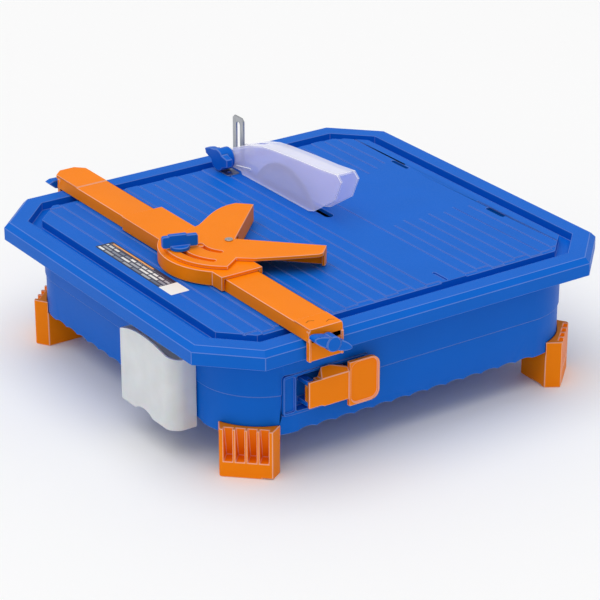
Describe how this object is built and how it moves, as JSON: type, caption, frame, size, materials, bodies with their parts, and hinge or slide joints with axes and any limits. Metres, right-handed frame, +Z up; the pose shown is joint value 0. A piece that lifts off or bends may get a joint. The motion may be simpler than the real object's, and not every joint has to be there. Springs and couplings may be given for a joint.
{
  "type": "tile cutter",
  "caption": "Compact electric wet tile saw: ribbed table over a water tub on corner feet, clear blade guard, riving knife, and a clamp-on fence with a mitre guide.",
  "frame": {"origin": "on the ground under the middle of the overall box", "axes": "+Z up, -Y towards the operator (switch side), +X to the operator's right"},
  "size_m": [0.442, 0.452, 0.183],
  "materials": {
    "blue_abs": "moulded, satin",
    "orange_abs": "moulded, satin",
    "clear_polycarbonate": "clear, polished",
    "frosted_polypropylene": "translucent, lightly frosted",
    "zinc_plated_steel": "zinc plated",
    "bright_steel": "ground",
    "blade_steel": "ground, with a sintered diamond rim",
    "bearing_steel": "polished",
    "painted_steel": "black paint",
    "copper_winding": "enamelled copper",
    "cast_aluminium": "as cast",
    "black_nylon": "moulded",
    "dark_plastic": "moulded",
    "rubber": "moulded",
    "label_film": "printed film"
  },
  "bodies": {
    "root": {"tub": "blue_abs", "deck": "blue_abs", "foot_rear_right": "orange_abs", "foot_rear_left": "orange_abs", "foot_front_right": "orange_abs", "foot_front_left": "orange_abs", "foot_screws": "zinc_plated_steel", "deck_screws": "zinc_plated_steel", "motor_box": "dark_plastic", "motor_box_lid": "dark_plastic", "motor_box_screws": "zinc_plated_steel", "motor_can": "painted_steel", "motor_stator": "copper_winding", "motor_cap_left": "painted_steel", "motor_cap_right": "painted_steel", "drive_belt": "rubber", "arbor_housing": "cast_aluminium", "arbor_bearing_left": "bearing_steel", "arbor_bearing_right": "bearing_steel", "shaft_seal": "rubber", "riving_knife": "bright_steel", "knife_bracket": "bright_steel", "knife_screws": "zinc_plated_steel", "knife_clip": "bright_steel", "switch_housing": "blue_abs", "switch_body": "black_nylon", "paddle_pin": "zinc_plated_steel", "cable_gland": "black_nylon", "drain_plug": "blue_abs", "rating_label": "label_film"},
    "arbor": {"arbor_shaft": "bright_steel", "inner_flange": "bright_steel", "blade": "blade_steel", "outer_flange": "bright_steel", "arbor_nut": "zinc_plated_steel", "driven_pulley": "cast_aluminium"},
    "motor_rotor": {"motor_rotor": "bright_steel", "motor_shaft": "bright_steel", "motor_fan": "black_nylon", "drive_pulley": "cast_aluminium"},
    "guard_bolt": {"guard_bolt": "zinc_plated_steel"},
    "guard": {"guard": "clear_polycarbonate"},
    "guard_knob": {"guard_knob": "blue_abs"},
    "fence": {"fence_bar": "orange_abs", "front_clamp_pad": "rubber", "rear_clamp_pad": "rubber"},
    "front_clamp": {"front_clamp_wing": "blue_abs", "front_clamp_screw": "zinc_plated_steel"},
    "rear_clamp": {"rear_clamp_lever": "blue_abs", "rear_clamp_screw": "zinc_plated_steel"},
    "mitre_carriage": {"mitre_carriage": "orange_abs", "mitre_pivot_screw": "zinc_plated_steel", "mitre_stud": "zinc_plated_steel"},
    "mitre_head": {"mitre_head": "orange_abs"},
    "mitre_knob": {"mitre_knob": "blue_abs"},
    "switch_rocker": {"switch_rocker": "black_nylon"},
    "switch_paddle": {"switch_paddle": "orange_abs"},
    "water_chute": {"water_chute": "frosted_polypropylene"}
  },
  "joints": [
    {"name": "arbor_spin", "type": "hinge", "parent": "root", "child": "arbor", "pos_m": [0.04, 0.082, 0.1], "axis": [1, 0, 0], "continuous": true},
    {"name": "motor_spin", "type": "hinge", "parent": "root", "child": "motor_rotor", "pos_m": [0.1, -0.013, 0.079], "axis": [1, 0, 0], "continuous": true},
    {"name": "guard_lift", "type": "slide", "parent": "root", "child": "guard_bolt", "axis": [0, 0, 1], "range_m": [0, 0.028]},
    {"name": "guard_tilt", "type": "hinge", "parent": "guard_bolt", "child": "guard", "pos_m": [0.04, 0.1625, 0.1432], "axis": [-1, 0, 0], "range_deg": [0, 40]},
    {"name": "guard_knob_turn", "type": "hinge", "parent": "guard_bolt", "child": "guard_knob", "pos_m": [0.02, 0.1625, 0.1432], "axis": [1, 0, 0], "range_deg": [-27, 27]},
    {"name": "fence_slide", "type": "slide", "parent": "root", "child": "fence", "axis": [1, 0, 0], "range_m": [-0.038, 0.025]},
    {"name": "front_clamp_turn", "type": "hinge", "parent": "fence", "child": "front_clamp", "pos_m": [-0.118, -0.215, 0.13], "axis": [0, 1, 0], "range_deg": [-90, 90]},
    {"name": "rear_clamp_turn", "type": "hinge", "parent": "fence", "child": "rear_clamp", "pos_m": [-0.118, 0.215, 0.13], "axis": [0, 1, 0], "range_deg": [-90, 0]},
    {"name": "mitre_slide", "type": "slide", "parent": "fence", "child": "mitre_carriage", "axis": [0, 1, 0], "range_m": [-0.09, 0.09]},
    {"name": "mitre_turn", "type": "hinge", "parent": "mitre_carriage", "child": "mitre_head", "pos_m": [-0.093, -0.025, 0.147], "axis": [0, 0, 1], "range_deg": [-45, 0]},
    {"name": "mitre_knob_turn", "type": "hinge", "parent": "mitre_carriage", "child": "mitre_knob", "pos_m": [-0.13978, -0.01675, 0.15], "axis": [0, 0, 1], "range_deg": [-90, 90]},
    {"name": "rocker_press", "type": "hinge", "parent": "root", "child": "switch_rocker", "pos_m": [-0.092, -0.1817, 0.073], "axis": [1, 0, 0], "range_deg": [-14, 0]},
    {"name": "paddle_swing", "type": "hinge", "parent": "root", "child": "switch_paddle", "pos_m": [-0.1215, -0.1935, 0.073], "axis": [0, 0, 1], "range_deg": [-90, 0]},
    {"name": "chute_pull", "type": "slide", "parent": "root", "child": "water_chute", "axis": [-1, 0, 0], "range_m": [0, 0.03]}
  ],
  "couplings": [
    {"joint": "motor_spin", "follows": "arbor_spin", "ratio": 1.1613}
  ]
}
